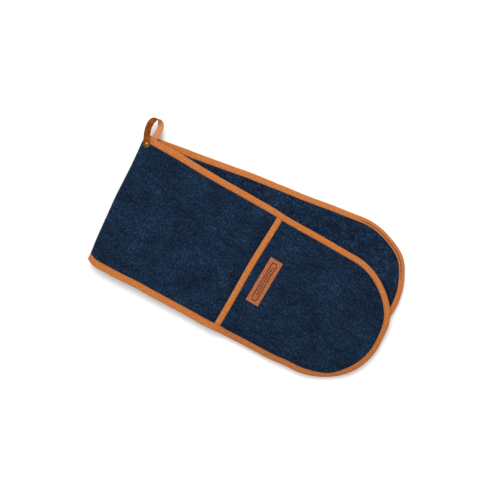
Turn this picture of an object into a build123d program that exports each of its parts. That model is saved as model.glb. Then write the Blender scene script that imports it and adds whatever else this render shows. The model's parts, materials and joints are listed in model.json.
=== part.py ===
from build123d import *
import os
from math import cos, radians, sin, sqrt

# A double oven glove, folded in half at its middle and lying flat: a long padded strip with a
# padded hand pocket on the outer side of each end, bound all round with tape, and a leather
# hanging loop riveted through one corner of the fold. Millimetres, +Z up. Everything is drawn
# about the middle of the fold, at the level where the two halves meet, and is set down on the
# floor at the end. Each half has its own plane there: the back half is drawn just as the front
# half is, on a plane turned over about X.

# ---- driving dimensions -----------------------------------------------------------------------
glove_width = 200.0          # at the fold
tip_width = 190.0            # where the round tip begins
half_length = 437.0          # from the fold to the tip, along the middle of one half
half_skew = 4.4              # degrees that each half leans off the square of the fold
half_gap = 0.15              # from the meeting level to each half's inner face
fold_clearance = 0.2         # from the fold's outermost line out to the axis it opens about

cover = 0.7                  # denim, one layer
strip_pad = 2.0              # wadding of the long strip
lining = 0.5                 # cotton lining of a pocket
pocket_pad = 1.7             # wadding of a pocket
tape = 0.7                   # binding tape, one layer
tape_width = 9.2             # what shows of the tape on each face

inner_bend = 3.25            # inside radius of the fold
fold_flat = 30.0             # the halves stay this parallel beside the fold
fold_close = 195.0           # and have come together here

mouth_distance = 213.7       # from the fold to a pocket's mouth, along the middle
mouth_lean = 2.1             # degrees that the mouth leans off square
hand_space = 4.3             # height of the empty pocket
shoulder = 34.0              # width over which the pocket rises to that height

stitch_width = 0.6
stitch_depth = 0.3
stitch_length = 3.0
stitch_pitch = 5.0
stitch_margin = 1.0          # from the tape's inner edge to its stitching

label_length = 70.0
label_width = 20.0
label_thickness = 1.4
label_corner = 1.2
label_gap = 13.5             # from the mouth's binding to the label
label_margin = 1.8           # from the label's edge to its stitching
label_frame_inset = 4.6      # from the label's edge to the pressed line
label_frame_width = 0.7
label_frame_depth = 0.3

strap_width = 9.2
strap_thickness = 1.8
strap_tail_width = 7.0       # the inner end is cut narrower, to lie inside the fold
strap_clearance = 0.55
tail_drop = 1.1              # from the front half's inner face down to the strap's inner end
rivet_clearance = 0.2
rivet_head = 4.0             # radius
rivet_dome = 1.2
rivet_rim = 0.2
rivet_shank = 1.5            # radius
rivet_base_thickness = 0.9
rivet_set_in = 3.35          # further from the fold than the strap's inner end needs
rivet_drop = 13.2            # from the corner of the fold down to the rivet
loop_height = 40.0           # from the rivet to the top of the loop
loop_spread = 10.0
loop_lean = 0.5              # degrees that the loop leans over the fold
loop_turn_start = 108.0      # degrees round the loop where the strap begins to turn over
loop_sections = 15

# ---- sizes that follow ------------------------------------------------------------------------
strip_thickness = cover + strip_pad + cover
pocket_thickness = lining + pocket_pad + cover
outer_bend = inner_bend + strip_thickness
seat = half_gap + strip_thickness                 # where a pocket lies on the strip
stack = seat + pocket_thickness + hand_space      # half the folded thickness
above = 2 * stack                                 # a height that clears everything
reach = half_length - tip_width / 2               # fold to the centre of the rounded tip
overrun = glove_width / 4                         # how far plan outlines run past the fold
taper = (glove_width - tip_width) / 2 / reach     # that each side draws in, for each length
fold_face = half_gap + outer_bend                 # outer face of the strip beside the fold

# The strap's inner end fits inside the fold's curve, and the rivet is set in from there.
fold_inside = outer_bend - sqrt(inner_bend**2 - (inner_bend - tail_drop) ** 2)
rivet_x = fold_inside + strap_clearance + strap_tail_width / 2 + rivet_set_in
rivet_y = glove_width / 2 / cos(radians(half_skew)) - rivet_drop

front_frame = Plane.XY
back_frame = Plane(origin=(0, 0, 0), x_dir=(1, 0, 0), z_dir=(0, 0, -1))


def half_plan(frame):
    """Plane of one half's plan: X runs along the middle of the half, which leans off square."""
    lean = radians(half_skew)
    along = frame.x_dir * cos(lean) - frame.y_dir * sin(lean)
    return Plane(origin=frame.origin, x_dir=along, z_dir=frame.z_dir)


# ---- profiles ---------------------------------------------------------------------------------
def outline(inset):
    """Plan of one half, drawn in from its edge: straight, slightly tapered sides, a round tip."""
    side = glove_width / 2 - inset + taper * overrun
    with BuildSketch() as plan:
        with BuildLine():
            tip = CenterArc((reach, 0), tip_width / 2 - inset, -90, 180)
            Polyline(tip @ 1, (-overrun, side), (-overrun, -side), tip @ 0)
        make_face()
    return plan.sketch


def beyond_mouth(offset):
    """Plan of all that lies on the pocket's side of its mouth, drawn back by an offset."""
    with BuildSketch() as region:
        with Locations((mouth_distance + offset, 0)):
            Rectangle(half_length, 2 * glove_width, rotation=-mouth_lean, align=(Align.MIN, Align.CENTER))
    return region.sketch


def strip_section(low, high):
    """Side view of a layer of the strip, from one depth to another, counted from its inner face."""
    far = half_length + overrun
    with BuildSketch() as section:
        with BuildLine():
            inner = CenterArc((outer_bend, half_gap), inner_bend + low, 180, -90)
            outer = CenterArc((outer_bend, half_gap), inner_bend + high, 180, -90)
            Line(inner @ 0, outer @ 0)
            Polyline(
                outer @ 1,
                (fold_flat, half_gap + inner_bend + high),
                (fold_close, half_gap + high),
                (far, half_gap + high),
                (far, half_gap + low),
                (fold_close, half_gap + low),
                (fold_flat, half_gap + inner_bend + low),
                inner @ 1,
            )
        make_face()
    return section.sketch


def pocket_block(plan, rise):
    """All that lies between the strip and a surface this far outside the empty pocket."""
    with BuildPart() as block:
        if rise > 0:
            with BuildSketch(plan.offset(seat)):
                add(outline(0))
            extrude(amount=rise)
        with BuildSketch(plan.offset(seat + rise)):
            add(outline(tape_width))
        with BuildSketch(plan.offset(seat + rise + hand_space)):
            add(outline(tape_width + shoulder))
        loft(ruled=True)
    return block.part


def mouth_comb():
    """Plan of a row of short bars across the mouth's binding, one for each stitch."""
    count = int((glove_width - 2 * tape_width) / stitch_pitch)
    with BuildSketch() as comb:
        with Locations(Location((mouth_distance, 0, 0), (0, 0, -mouth_lean))):
            with GridLocations(1, stitch_pitch, 1, count):
                Rectangle(4 * tape_width, stitch_length)
    return comb.sketch


# ---- one half ---------------------------------------------------------------------------------
def make_half(frame, riveted):
    """The pieces of one half, by name. The riveted half has a hole for the rivet's shank."""
    plan = half_plan(frame)
    section = Plane(origin=frame.origin, x_dir=frame.x_dir, z_dir=-frame.y_dir)
    hole = rivet_shank + rivet_clearance
    blocks = {
        rise: pocket_block(plan, rise)
        for rise in (0, lining, lining + pocket_pad, pocket_thickness - stitch_depth, pocket_thickness)
    }

    with BuildPart() as inner_cover:
        with BuildSketch(section):
            add(strip_section(0, cover))
        extrude(amount=glove_width, both=True)
        with BuildSketch(plan):
            add(outline(tape_width))
        extrude(amount=above, mode=Mode.INTERSECT)
        if riveted:
            with Locations(frame.location * Location((rivet_x, rivet_y, 0))):
                Cylinder(hole, above, mode=Mode.SUBTRACT)

    with BuildPart() as wadding:
        with BuildSketch(section):
            add(strip_section(cover, cover + strip_pad))
        extrude(amount=glove_width, both=True)
        with BuildSketch(plan):
            add(outline(tape))
        extrude(amount=above, mode=Mode.INTERSECT)
        if riveted:
            with Locations(frame.location * Location((rivet_x, rivet_y, 0))):
                Cylinder(hole, above, mode=Mode.SUBTRACT)

    # The outer cover runs on under the pocket to the tape's outer wall, from behind the tape
    # that closes the pocket's edge at its mouth.
    with BuildPart() as outer_cover:
        with BuildSketch(section):
            add(strip_section(cover + strip_pad, strip_thickness))
        extrude(amount=glove_width, both=True)
        with BuildSketch(plan):
            add(beyond_mouth(tape))
            add(outline(tape), mode=Mode.INTERSECT)
            add(outline(tape_width))
        extrude(amount=above, mode=Mode.INTERSECT)
        if riveted:
            with Locations(frame.location * Location((rivet_x, rivet_y, 0))):
                Cylinder(hole, above, mode=Mode.SUBTRACT)

    with BuildPart() as pocket_lining:
        add(blocks[lining])
        add(blocks[0], mode=Mode.SUBTRACT)
        with BuildSketch(plan):
            add(outline(tape))
            add(beyond_mouth(tape_width), mode=Mode.INTERSECT)
        extrude(amount=above, mode=Mode.INTERSECT)

    with BuildPart() as pocket_wadding:
        add(blocks[lining + pocket_pad])
        add(blocks[lining], mode=Mode.SUBTRACT)
        with BuildSketch(plan):
            add(outline(tape))
            add(beyond_mouth(tape), mode=Mode.INTERSECT)
        extrude(amount=above, mode=Mode.INTERSECT)

    with BuildPart() as pocket_cover:
        add(blocks[pocket_thickness])
        add(blocks[lining + pocket_pad], mode=Mode.SUBTRACT)
        with BuildSketch(plan):
            add(outline(tape_width))
            add(beyond_mouth(tape_width), mode=Mode.INTERSECT)
        extrude(amount=above, mode=Mode.INTERSECT)

    # Stitches lie pulled down into the tape, level with its face.
    with BuildPart() as mouth_stitching:
        add(blocks[pocket_thickness])
        add(blocks[pocket_thickness - stitch_depth], mode=Mode.SUBTRACT)
        with BuildSketch(plan):
            add(beyond_mouth(tape_width - stitch_margin - stitch_width))
            add(beyond_mouth(tape_width - stitch_margin), mode=Mode.SUBTRACT)
            add(mouth_comb(), mode=Mode.INTERSECT)
            add(outline(tape_width + stitch_margin), mode=Mode.INTERSECT)
        extrude(amount=above, mode=Mode.INTERSECT)

    with BuildPart() as mouth_binding:
        add(blocks[pocket_thickness])
        add(blocks[0], mode=Mode.SUBTRACT)
        with BuildSketch(plan):
            add(outline(tape_width))
            add(beyond_mouth(0), mode=Mode.INTERSECT)
            add(beyond_mouth(tape_width), mode=Mode.SUBTRACT)
        extrude(amount=above, mode=Mode.INTERSECT)
        add(pocket_wadding.part, mode=Mode.SUBTRACT)
        add(mouth_stitching.part, mode=Mode.SUBTRACT)

    with BuildPart() as edge_stitching:
        with BuildSketch(section):
            add(strip_section(strip_thickness - stitch_depth, strip_thickness))
        extrude(amount=glove_width, both=True)
        with BuildSketch(plan):
            add(beyond_mouth(0))
        extrude(amount=above, mode=Mode.SUBTRACT)
        with BuildSketch(plan.offset(seat + pocket_thickness - stitch_depth)):
            add(beyond_mouth(0))
        extrude(amount=stitch_depth)
        with BuildSketch(plan):
            add(outline(tape_width - stitch_margin - stitch_width))
            add(outline(tape_width - stitch_margin), mode=Mode.SUBTRACT)
        extrude(amount=above, mode=Mode.INTERSECT)

    with BuildPart() as edge_binding:
        with BuildSketch(section):
            add(strip_section(0, strip_thickness))
        extrude(amount=glove_width, both=True)
        with BuildSketch(plan.offset(seat)):
            add(beyond_mouth(0))
        extrude(amount=pocket_thickness)
        with BuildSketch(plan):
            add(outline(0))
            add(outline(tape_width), mode=Mode.SUBTRACT)
        extrude(amount=above, mode=Mode.INTERSECT)
        for filling in (wadding, outer_cover, pocket_lining, pocket_wadding, edge_stitching):
            add(filling.part, mode=Mode.SUBTRACT)

    return {
        "inner_cover": inner_cover,
        "wadding": wadding,
        "outer_cover": outer_cover,
        "pocket_lining": pocket_lining,
        "pocket_wadding": pocket_wadding,
        "pocket_cover": pocket_cover,
        "mouth_binding": mouth_binding,
        "mouth_stitching": mouth_stitching,
        "edge_binding": edge_binding,
        "edge_stitching": edge_stitching,
    }


# ---- label on the front pocket ----------------------------------------------------------------
def label_stitch_marks():
    """Plan of the short stitches round the label."""
    along = label_length / 2 - label_margin
    across = label_width / 2 - label_margin
    rows = int((2 * along - stitch_length) / stitch_pitch)
    columns = int((2 * across - stitch_length) / stitch_pitch)
    with BuildSketch() as marks:
        with GridLocations(2 * across, stitch_pitch, 2, rows):
            Rectangle(stitch_width, stitch_length)
        with GridLocations(stitch_pitch, 2 * along, columns, 2):
            Rectangle(stitch_length, stitch_width)
    return marks.sketch


label_distance = mouth_distance + tape_width + label_gap + label_width / 2
label_place = Location((label_distance, 0, stack), (0, 0, -mouth_lean))
label_plane = Plane(half_plan(front_frame).location * label_place)

with BuildPart() as label_stitching:
    with BuildSketch(label_plane.offset(label_thickness - stitch_depth)):
        add(label_stitch_marks())
    extrude(amount=stitch_depth)

with BuildPart() as label:
    with BuildSketch(label_plane):
        RectangleRounded(label_width, label_length, label_corner)
    extrude(amount=label_thickness)
    with BuildSketch(label_plane.offset(label_thickness - label_frame_depth)):
        outer_across = label_width - 2 * label_frame_inset
        outer_along = label_length - 2 * label_frame_inset
        Rectangle(outer_across, outer_along)
        Rectangle(
            outer_across - 2 * label_frame_width, outer_along - 2 * label_frame_width, mode=Mode.SUBTRACT
        )
    extrude(amount=label_frame_depth, mode=Mode.SUBTRACT)
    add(label_stitching.part, mode=Mode.SUBTRACT)

# ---- rivet ------------------------------------------------------------------------------------
strap_low = fold_face + strap_clearance                   # underside of the strap's outer end
cap_seat = strap_low + strap_thickness + rivet_clearance
tail_top = half_gap + inner_bend - tail_drop              # upper side of the strap's inner end
base_seat = tail_top - strap_thickness - rivet_clearance
rivet_axis = Axis((rivet_x, rivet_y, 0), (0, 0, 1))
rivet_section = Plane(origin=(rivet_x, rivet_y, 0), x_dir=(1, 0, 0), z_dir=(0, -1, 0))

with BuildPart() as rivet_cap:
    with BuildSketch(rivet_section):
        with BuildLine():
            crown = (0, cap_seat + rivet_rim + rivet_dome)
            brim = (rivet_head, cap_seat + rivet_rim)
            middle = (0.62 * rivet_head, cap_seat + rivet_rim + 0.76 * rivet_dome)
            ThreePointArc(crown, middle, brim)
            Polyline(
                brim,
                (rivet_head, cap_seat),
                (rivet_shank, cap_seat),
                (rivet_shank, base_seat),
                (0, base_seat),
                crown,
            )
        make_face()
    revolve(axis=rivet_axis)

with BuildPart() as rivet_base:
    with BuildSketch(Plane.XY.offset(base_seat)):
        with Locations((rivet_x, rivet_y)):
            Circle(rivet_head * 0.85)
    extrude(amount=-rivet_base_thickness)


# ---- leather hanging strap --------------------------------------------------------------------
def loop_point(turn):
    """Centre of the strap after so many degrees round the loop: a teardrop from the rivet."""
    angle = radians(turn)
    x = -loop_spread * sin(angle) * sin(angle / 2)
    y = loop_height / 2 * (1 - cos(angle))
    lean = radians(loop_lean)
    outer = strap_low + strap_thickness / 2
    inner = tail_top - strap_thickness / 2
    return Vector(
        rivet_x + x * cos(lean) - y * sin(lean),
        rivet_y + y * cos(lean) + x * sin(lean),
        outer + (inner - outer) * turned(turn),
    )


def turned(turn):
    """Share of the half twist that the strap has made, from 0 at its outer end to 1."""
    share = (turn - loop_turn_start) / (360 - 2 * loop_turn_start)
    share = min(max(share, 0), 1)
    return share * share * (3 - 2 * share)


def strap_plane(turn):
    """Plane across the strap there, X along its width and Y out through its grain side."""
    step = 0.5
    along = (loop_point(turn + step) - loop_point(turn - step)).normalized()
    level = Vector(0, 0, 1)
    up = (level - along * level.dot(along)).normalized()
    outward = up.cross(along)
    twist = radians(180 * turned(turn))
    grain = up * cos(twist) + outward * sin(twist)
    return Plane(origin=loop_point(turn), x_dir=grain.cross(along), z_dir=along)


tab_turn = 40.0              # degrees round the loop where the flat ends run into it


def strap_tab(turn, end_width):
    """Plan of a flat end, from the rivet to where the loop leaves the level."""
    plane = strap_plane(turn)
    side = plane.x_dir * (strap_width / 2)
    left = plane.origin + side
    right = plane.origin - side
    back = Vector(rivet_x, rivet_y, plane.origin.Z)
    square = plane.x_dir * (end_width / 2)
    with BuildSketch() as tab:
        with BuildLine():
            Polyline(
                (left.X, left.Y),
                (right.X, right.Y),
                ((back - square).X, (back - square).Y),
                ((back + square).X, (back + square).Y),
                close=True,
            )
        make_face()
        with Locations((rivet_x, rivet_y)):
            Circle(end_width / 2)
            Circle(rivet_shank + rivet_clearance, mode=Mode.SUBTRACT)
    return tab.sketch


with BuildPart() as hang_strap:
    for number in range(loop_sections):
        turn = tab_turn + (360 - 2 * tab_turn) * number / (loop_sections - 1)
        with BuildSketch(strap_plane(turn)):
            Rectangle(strap_width, strap_thickness)
    loft()
    with BuildSketch(Plane.XY.offset(strap_low)):
        add(strap_tab(tab_turn, strap_width))
    extrude(amount=strap_thickness)
    with BuildSketch(Plane.XY.offset(tail_top)):
        add(strap_tab(360 - tab_turn, strap_tail_width))
    extrude(amount=-strap_thickness)

# ---- set down on the floor and write ----------------------------------------------------------
pieces = {}
for side, frame, riveted in (("back", back_frame, False), ("front", front_frame, True)):
    for name, piece in make_half(frame, riveted).items():
        pieces[f"{side}_{name}"] = piece.part
pieces["label"] = label.part
pieces["label_stitching"] = label_stitching.part
pieces["rivet_cap"] = rivet_cap.part
pieces["rivet_base"] = rivet_base.part
pieces["hang_strap"] = hang_strap.part

boxes = [piece.bounding_box() for piece in pieces.values()]
left = min(box.min.X for box in boxes)
right = max(box.max.X for box in boxes)
near = min(box.min.Y for box in boxes)
far = max(box.max.Y for box in boxes)
floor = min(box.min.Z for box in boxes)
set_down = Vector(-(left + right) / 2, -(near + far) / 2, -floor)

os.makedirs("parts", exist_ok=True)
for name, piece in pieces.items():
    placed = piece.moved(Location(set_down))
    placed.label = name
    export_step(placed, f"parts/{name}.step")

print("set down by", [round(value, 4) for value in set_down])
print("fold axis at", [round(value, 4) for value in set_down + Vector(-fold_clearance, 0, 0)])
print("rivet axis at", [round(value, 4) for value in set_down + Vector(rivet_x, rivet_y, 0)])
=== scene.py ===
# %% [markdown]
# # A double oven glove, folded in half
#
# This lesson dresses a double oven glove: one long padded strip of denim with a hand pocket at
# each end, bound all round with twill tape, and hung from a leather loop. The measured model
# arrives first, as a frame that never moves. Every piece made below is laid over it, in metres.
# The pieces of each half ride on that half, and the cloth over the fold is tied to neither.

# %% Load the measured frame
import json
import bmesh
import bpy
import numpy as np
from math import cos, pi, radians, sin
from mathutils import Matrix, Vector, noise


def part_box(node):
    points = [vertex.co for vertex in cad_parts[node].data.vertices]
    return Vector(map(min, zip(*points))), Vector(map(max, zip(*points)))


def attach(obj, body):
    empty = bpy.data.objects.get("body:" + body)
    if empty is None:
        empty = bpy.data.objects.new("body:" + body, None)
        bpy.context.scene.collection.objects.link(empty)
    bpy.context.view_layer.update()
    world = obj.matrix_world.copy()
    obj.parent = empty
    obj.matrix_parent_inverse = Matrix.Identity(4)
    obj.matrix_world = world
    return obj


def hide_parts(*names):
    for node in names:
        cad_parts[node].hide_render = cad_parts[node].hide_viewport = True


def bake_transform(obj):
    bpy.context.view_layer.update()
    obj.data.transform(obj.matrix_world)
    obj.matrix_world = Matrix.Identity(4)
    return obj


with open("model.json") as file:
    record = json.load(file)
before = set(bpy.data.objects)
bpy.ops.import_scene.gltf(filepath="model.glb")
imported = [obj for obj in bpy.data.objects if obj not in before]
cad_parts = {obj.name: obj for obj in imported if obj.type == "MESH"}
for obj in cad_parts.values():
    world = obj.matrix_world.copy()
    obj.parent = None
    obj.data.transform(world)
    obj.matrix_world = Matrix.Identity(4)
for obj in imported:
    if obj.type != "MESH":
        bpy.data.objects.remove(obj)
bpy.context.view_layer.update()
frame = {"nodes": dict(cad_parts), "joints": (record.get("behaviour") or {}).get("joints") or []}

# %% [markdown]
# ## Where the two halves lie
#
# The fold's hinge gives the origin of everything: the line where the cloth turns over, at the
# level where the two halves meet. Each half is drawn flat in its own millimetres: along its
# length from the fold, across it, and up from the meeting level. The back half is the same
# drawing turned over. One function then carries any drawn point into the frame.

# %% Sizes of the glove, and from a half's drawing into the frame
MM = 0.001
FOLD = next(j for j in frame["joints"] if j["name"] == "fold")["pos_m"]
AXIS_GAP = 0.2                       # from the hinge's line to the cloth's outermost line
ORIGIN = np.array([FOLD[0] / MM + AXIS_GAP, FOLD[1] / MM, FOLD[2] / MM])
SKEW = radians(4.4)                  # each half leans this far off the square of the fold
HALF_WIDTH = 95.0                    # of the round tip
WIDER = 5.0                          # each side is this much further out at the fold
REACH = 342.0                        # fold to the centre of the round tip
GAP = 0.15                           # meeting level to each half's inner face
BEND = 3.25                          # inside radius of the fold
STRIP = 3.4                          # thickness of the padded strip
SEAT = GAP + STRIP                   # level where a pocket lies on the strip
FLAT_END, CLOSED = 30.0, 195.0       # the halves part between here and the fold
TAPE_WIDTH = 9.2
TAPE = 0.7
HAND_SPACE = 4.3
MOUTH = 213.7                        # fold to the pocket's mouth
MOUTH_LEAN = radians(2.1)
SEAM = 24.0                          # the cloth over the fold is its own piece up to here
OUTER_BEND = BEND + STRIP            # outside radius of the fold
MIDDLE_BEND = BEND + STRIP / 2       # radius at the middle of the cloth


def ease(x):
    """Goes smoothly from 0 at 0 to 1 at 1."""
    x = np.clip(x, 0, 1)
    return x * x * (3 - 2 * x)


def fold_distance(u, v):
    """Distance of a drawn point from the fold's line."""
    return u * cos(SKEW) + v * sin(SKEW)


def parting(u, v):
    """Height of a half's inner face over the meeting level: the fold holds the halves apart."""
    return GAP + BEND * (1 - ease((fold_distance(u, v) - FLAT_END) / (CLOSED - FLAT_END)))


def beyond_mouth(u, v):
    """Distance of a drawn point past the pocket's mouth, towards the tip."""
    return (u - MOUTH) * cos(MOUTH_LEAN) - v * sin(MOUTH_LEAN)


def edge_distance(u, v):
    """Distance in from the edge of a half, drawn with straight sides."""
    return HALF_WIDTH - np.hypot(u - np.minimum(u, REACH), v)


def widened(x):
    """How many times wider than at its tip a half is, at a distance from the fold."""
    return 1 + WIDER / HALF_WIDTH * (1 - np.clip(x / REACH, 0, 1))


# %% [markdown]
# ## Soft edges
#
# Cloth isn't cut by a ruler. Each edge wanders by a millimetre or two, the tips are slightly
# squared or flattened, and the free corner at the fold is rounded. Where the front pocket
# reaches past the half below it, nothing holds its edge up, so the edge hangs down towards the
# table. Each piece is drawn flat with straight sides, and one function, `settle`, widens the
# drawing towards the fold, moves its edges and bends them down. That way the tape, the stitches
# and the denim all go together.

# %% The edge wanders and droops
HANG_ANGLE = radians(66)             # slope of the very edge where it hangs
HANG_WIDTH = 18.0                    # how far in from the edge the cloth starts to bend
HANG_SHARE = 0.76                    # share of that slope that the longest overhang reaches
CORNER_SHARE = 0.42                  # and that the tip's lower corner adds
CORNER_AT = -62                      # direction of that corner from the tip's centre
EDGE_ROLL = 4.2                      # the hanging edge is drawn in by this much of its slope
REST_SAG = 0.3                       # share of that bend at the back half's edge
EASED_OVER = 60.0                    # an edge's wander fades out this far in from it


def hump(x, middle, wide):
    """A smooth bump, 1 at its middle and nearly 0 two widths away."""
    return np.exp(-(((x - middle) / wide) ** 2))


def wander(x, upper, side):
    """How far an edge is drawn in, by its distance from the fold. Both halves start alike."""
    top = -1.0 + 0 * x
    low = -2.0 + 4.6 * hump(x, 0, 9)
    if side == "front":
        top = top + 1.7 * ease((x - 60) / 50) + 1.7 * ease((x - 205) / 35)
        past_fold = ease((x - 115) / 30) * (1 - 0.6 * ease((x - 215) / 20))
        low = low + 0.6 * hump(x, 84, 20) - 0.5 * past_fold - 1.2 * hump(x, 194, 14)
    else:
        top = top - 0.8 * ease((x - 40) / 30) - 1.0 * hump(x, 150, 40) + 1.2 * ease((x - 200) / 50)
        low = low + 2.8 * ease((x - 30) / 60)
    return np.where(upper, top, low) + 0.16 * np.sin(x / 9.7) * ease((x - SEAM) / 20)


def tip_line(turn, side):
    """How far a round tip is drawn in, by the direction in degrees from its centre."""
    if side == "front":
        flats = 3.0 * ease((turn - 18) / 35) + 1.4 * hump(turn, -2, 9) + 0.8 * hump(turn, -68, 12)
        return flats - 0.9 * hump(turn, 17, 9) - 0.9 * hump(turn, -38, 14)
    return -0.1 + 1.0 * (1 - ease((turn - 2) / 22)) - 3.1 * hump(turn, 42, 13)


def direction(u, v, side):
    """Direction of a drawn point from the centre of its round tip, in degrees, as it lies."""
    drawn = np.degrees(np.arctan2(v, np.maximum(u - REACH, 0))) - np.degrees(SKEW)
    return drawn if side == "front" else -drawn


def drawn_in(u, v, side):
    """How far a drawn point is moved in with the edge beside it."""
    upper = v > 0 if side == "front" else v < 0
    straight = wander(fold_distance(u, v), upper, side)
    share = ease((u - REACH + 42) / 42)
    moved = straight * (1 - share) + tip_line(direction(u, v, side), side) * share
    return moved * np.clip(1 - edge_distance(u, v) / EASED_OVER, 0, 1)


def overhang(u, v):
    """How far the front half's edge beside this point reaches past the back half below it."""
    base = np.minimum(u, REACH)
    length = np.maximum(np.hypot(u - base, v), 1e-6)
    eu = base + (u - base) / length * HALF_WIDTH
    ev = v / length * HALF_WIDTH
    x = eu * cos(SKEW) + ev * sin(SKEW)
    y = ev * cos(SKEW) - eu * sin(SKEW)
    bu = x * cos(SKEW) + y * sin(SKEW)
    bv = x * sin(SKEW) - y * cos(SKEW)
    return np.hypot(bu - np.minimum(bu, REACH), bv) - HALF_WIDTH


def settle(points, side):
    """Bends drawn points of one half down near its edge, and moves them with its outline."""
    u, v, h = (points[..., i].astype(float) for i in range(3))
    t = edge_distance(u, v)
    base = np.minimum(u, REACH)
    length = np.maximum(HALF_WIDTH - t, 1e-6)
    out_u, out_v = (u - base) / length, v / length
    if side == "front":
        loose = ease((overhang(u, v) + 14) / 34) * ease((beyond_mouth(u, v) + 2) / 25)
        corner = hump(direction(u, v, side), CORNER_AT, 14) * (u > REACH)
        amount, down = HANG_SHARE * loose + CORNER_SHARE * corner, 1.0
    else:
        amount, down = REST_SAG * ease(fold_distance(u, v) / 120 - 0.3), -1.0
    edge_slope = np.maximum(amount * HANG_ANGLE, 1e-4)
    slope = edge_slope * np.clip(1 - t / HANG_WIDTH, 0, 1)
    reach_in = HANG_WIDTH / edge_slope
    start = EDGE_ROLL * np.sin(edge_slope) if side == "front" else 0.0
    run = start + reach_in * (np.sin(edge_slope) - np.sin(slope)) + np.minimum(t, 0)
    full = start + reach_in * np.sin(edge_slope)
    beyond = full + (t - HANG_WIDTH) * (HALF_WIDTH - full) / (HALF_WIDTH - HANG_WIDTH)
    inset = np.where(t > HANG_WIDTH, beyond, run) - down * h * np.sin(slope)
    drop = reach_in * (1 - np.cos(slope))
    moved = (HALF_WIDTH - inset) * widened(fold_distance(u, v)) - drawn_in(u, v, side)
    return np.stack([base + out_u * moved, out_v * moved, h * np.cos(slope) - down * drop], -1)


def into_frame(points, side):
    """Carries drawn points of one half into the frame, in metres."""
    flip = 1.0 if side == "front" else -1.0
    x = points[..., 0] * cos(SKEW) + points[..., 1] * sin(SKEW)
    y = points[..., 1] * cos(SKEW) - points[..., 0] * sin(SKEW)
    return (np.stack([x, flip * y, flip * points[..., 2]], -1) + ORIGIN) * MM


def place(points, side):
    """Drawn points of one half, settled and carried into the frame."""
    return into_frame(settle(points, side), side)


print("overhang of the lower corner:", round(float(overhang(REACH + 48.0, -80.0)), 1), "mm")


# %% [markdown]
# ## Sheets with a thickness
#
# Nearly every piece here is a sheet: denim over wadding, tape round an edge, a leather strap.
# A sheet can be drawn as two grids of points, its two faces, with narrow walls between them.
# That gives a closed mesh with clean rows of quads, and each row can carry a mark of where it
# lies in the cloth. The marks are kept as a vector on the points, and the weave is drawn from
# them, so the pattern stays in the cloth when the glove unfolds. A Solidify modifier would be
# quicker, but it can't make the inside of a padded piece differ from its outside.

# %% Make a closed sheet from two faces
EDGE_ANGLE = radians(48)


def rough(points, size, seed=0.0, octaves=2):
    """Smooth noise, about -1 to 1, at drawn points. size is the width of its bumps."""
    flat = np.asarray(points, float).reshape(-1, points.shape[-1])[:, :2] / size
    found = np.zeros(len(flat))
    for i, (a, b) in enumerate(flat):
        for k in range(octaves):
            found[i] += noise.noise(Vector((a * 2**k, b * 2**k, seed + 7.3 * k))) / 2**k
    return found.reshape(points.shape[:-1]) * 1.6


def build_mesh(name, points, faces, mark=None, merge=None):
    """A smooth mesh object with its marks; points closer than merge become one."""
    mesh = bpy.data.meshes.new(name)
    mesh.from_pydata([tuple(p) for p in points], [], faces)
    if mark is not None:
        kept = mesh.attributes.new("cloth_place", "FLOAT_VECTOR", "POINT")
        kept.data.foreach_set("vector", np.asarray(mark, np.float32).ravel())
    shape = bmesh.new()
    shape.from_mesh(mesh)
    if merge:
        bmesh.ops.remove_doubles(shape, verts=shape.verts, dist=merge)
    bmesh.ops.recalc_face_normals(shape, faces=shape.faces)
    shape.to_mesh(mesh)
    shape.free()
    mesh.shade_smooth()
    mesh.set_sharp_from_angle(angle=EDGE_ANGLE)
    made = bpy.data.objects.new(name, mesh)
    bpy.context.scene.collection.objects.link(made)
    return made


def grid_faces(rows, columns, first=0, around=False):
    """Quads between the rows of a grid of points numbered row by row."""
    found = []
    for r in range(rows - 1):
        for c in range(columns if around else columns - 1):
            n = (c + 1) % columns
            a, b = first + r * columns + c, first + r * columns + n
            found.append((a, b, b + columns, a + columns))
    return found


def thick_sheet(name, outer, inner, outer_mark, inner_mark, merge=None):
    """A closed sheet between two grids of points, in metres, with walls round its border."""
    rows, columns = outer.shape[:2]
    second = rows * columns
    faces = grid_faces(rows, columns)
    faces += [tuple(second + i for i in reversed(face)) for face in grid_faces(rows, columns)]
    rim = [(r, 0) for r in range(rows)] + [(rows - 1, c) for c in range(1, columns)]
    rim += [(r, columns - 1) for r in range(rows - 2, -1, -1)]
    rim += [(0, c) for c in range(columns - 2, 0, -1)]
    for (r, c), (r2, c2) in zip(rim, rim[1:] + rim[:1]):
        if merge and c == c2 == columns - 1:
            continue                 # the two sides meet there, so no wall stands between them
        a, b = r * columns + c, r2 * columns + c2
        faces.append((b, a, second + a, second + b))
    points = np.concatenate([outer.reshape(-1, 3), inner.reshape(-1, 3)])
    mark = np.concatenate([outer_mark.reshape(-1, 3), inner_mark.reshape(-1, 3)])
    return build_mesh(name, points, faces, mark, merge)


# %% [markdown]
# ## Rows of quads that follow the edge
#
# A half is a long rectangle with a round end. Square cells would leave steps along its edge, so
# the rows start at the fold or the mouth, run out along one side, fan round the tip and come
# back along the other. The columns are insets from the edge, close together near the tape, where
# the cloth bends most. The two sides meet on the middle line, where their points become one.

# %% Rows of points round a half, and the rings of denim inside the tape
STEP = 2.6                           # spacing of the rows along an edge
ARC_ROWS = 110
TIP_TURN = pi * HALF_WIDTH


def rows_round(straight_rows):
    """Rows from a start line, round the tip and back: (share along the straight, angle)."""
    shares = np.linspace(0, 1, straight_rows)
    angles = np.linspace(pi / 2, -pi / 2, ARC_ROWS + 1)[1:-1]
    rows = [(s, None) for s in shares] + [(None, a) for a in angles]
    return rows + [(s, "back") for s in shares[::-1]]


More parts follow.
